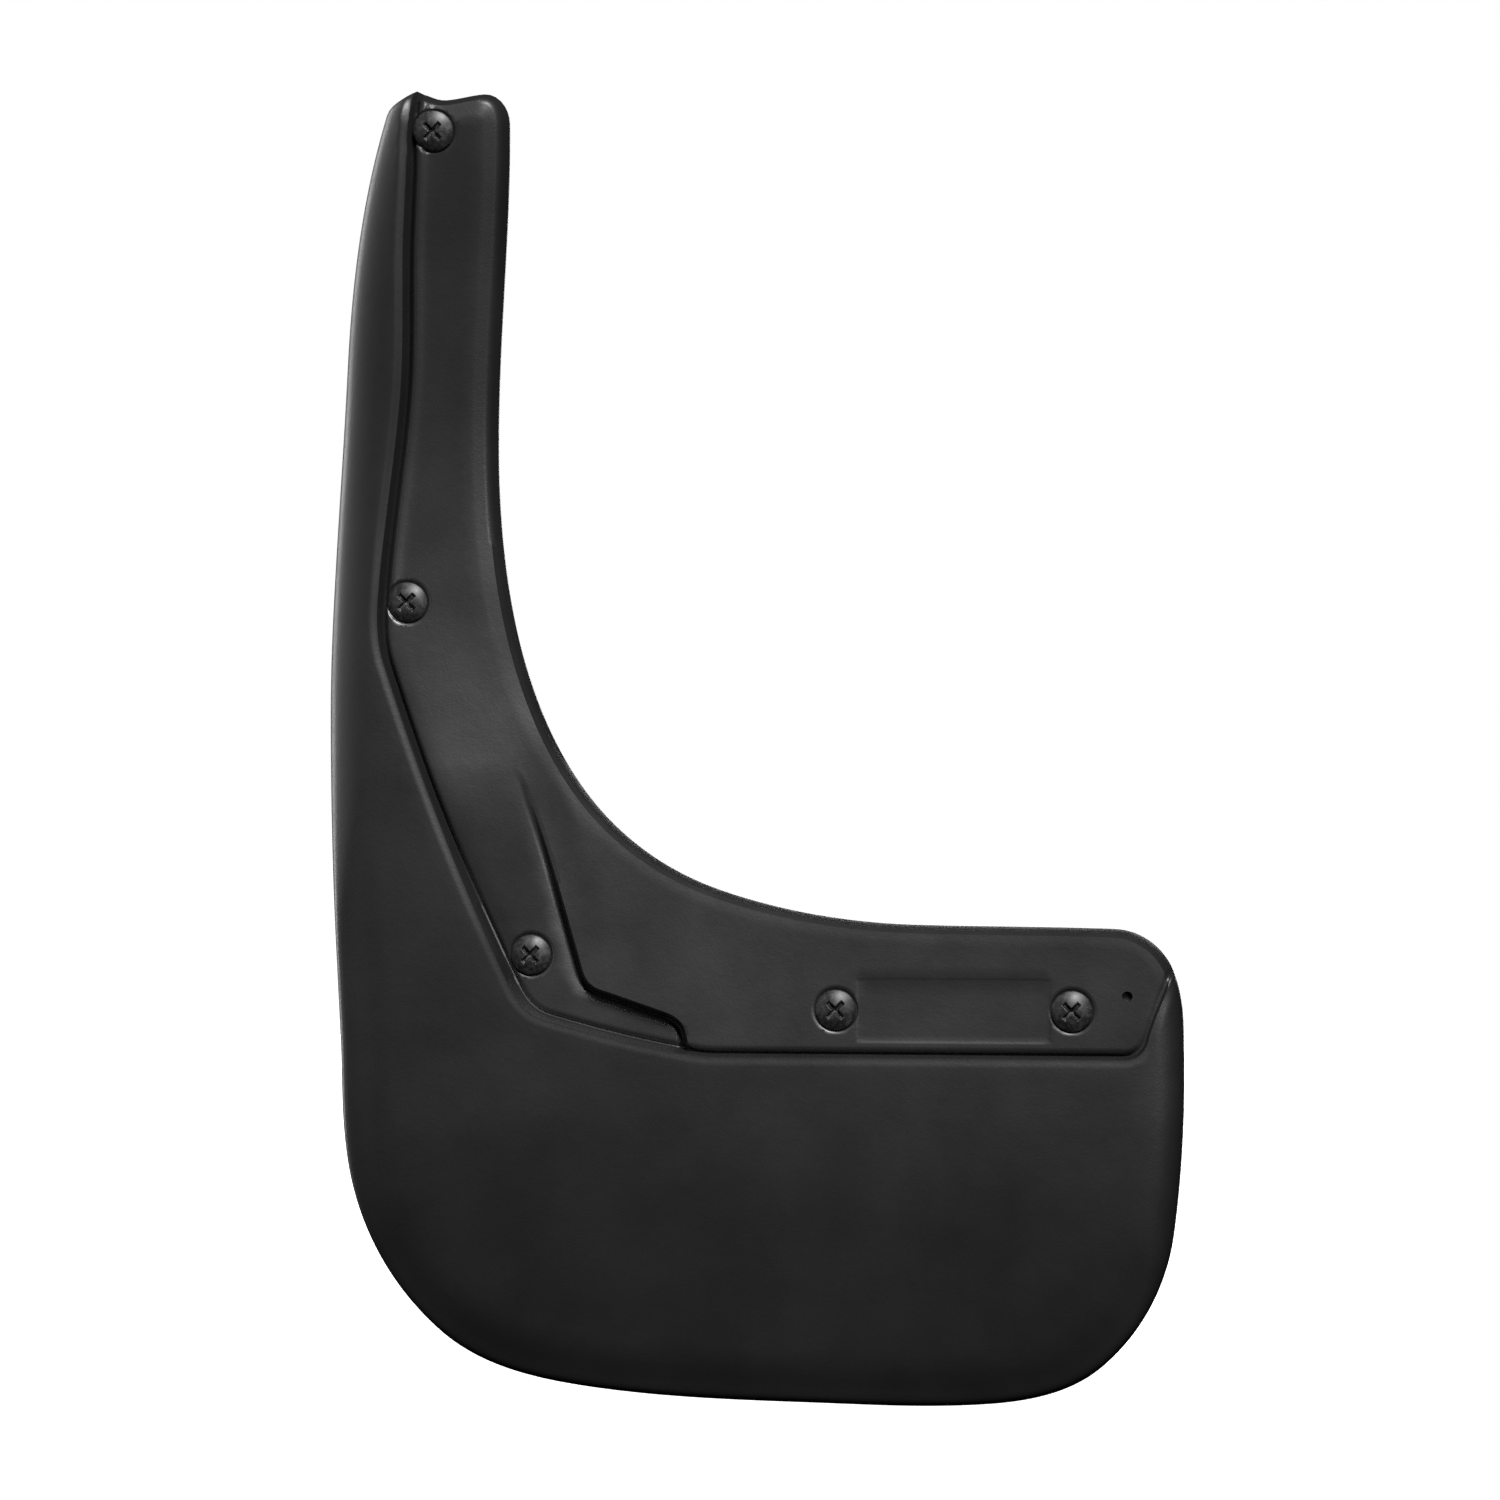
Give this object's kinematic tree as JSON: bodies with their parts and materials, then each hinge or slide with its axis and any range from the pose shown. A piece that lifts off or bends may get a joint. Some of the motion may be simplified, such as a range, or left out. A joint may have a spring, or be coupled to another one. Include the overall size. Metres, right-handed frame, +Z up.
{
  "type": "mud flap",
  "caption": "L-shaped moulded mud flap: an arm and a flange follow a wheel arch, a raised panel hangs below, and truss-head screws fix it.",
  "frame": {"origin": "midway between the two lower fixing holes, on the back of the mounting flange", "axes": "+Z up the arm, +X from the arm towards the flange's free end, +Y out of the flange's back, towards the wheel arch panel; the screw heads face -Y"},
  "size_m": [0.2603, 0.0528, 0.3965],
  "materials": {
    "moulding": "fine-grained satin black moulded polypropylene",
    "screw": "black-coated steel, satin"
  },
  "bodies": {
    "moulding": {"flap": "moulding"},
    "screw_top": {"screw_top": "screw"},
    "screw_middle": {"screw_middle": "screw"},
    "screw_lower": {"screw_lower": "screw"},
    "screw_inner": {"screw_inner": "screw"},
    "screw_outer": {"screw_outer": "screw"}
  },
  "joints": [
    {"name": "screw_top_out", "type": "slide", "parent": "moulding", "child": "screw_top", "axis": [0, -0.9799, -0.1994], "range_m": [0, 0.022]},
    {"name": "screw_middle_out", "type": "slide", "parent": "moulding", "child": "screw_middle", "axis": [0, -0.9998, -0.0214], "range_m": [0, 0.022]},
    {"name": "screw_lower_out", "type": "slide", "parent": "moulding", "child": "screw_lower", "axis": [0, -1, 0], "range_m": [0, 0.022]},
    {"name": "screw_inner_out", "type": "slide", "parent": "moulding", "child": "screw_inner", "axis": [0, -1, 0], "range_m": [0, 0.022]},
    {"name": "screw_outer_out", "type": "slide", "parent": "moulding", "child": "screw_outer", "axis": [0, -1, 0], "range_m": [0, 0.022]}
  ]
}
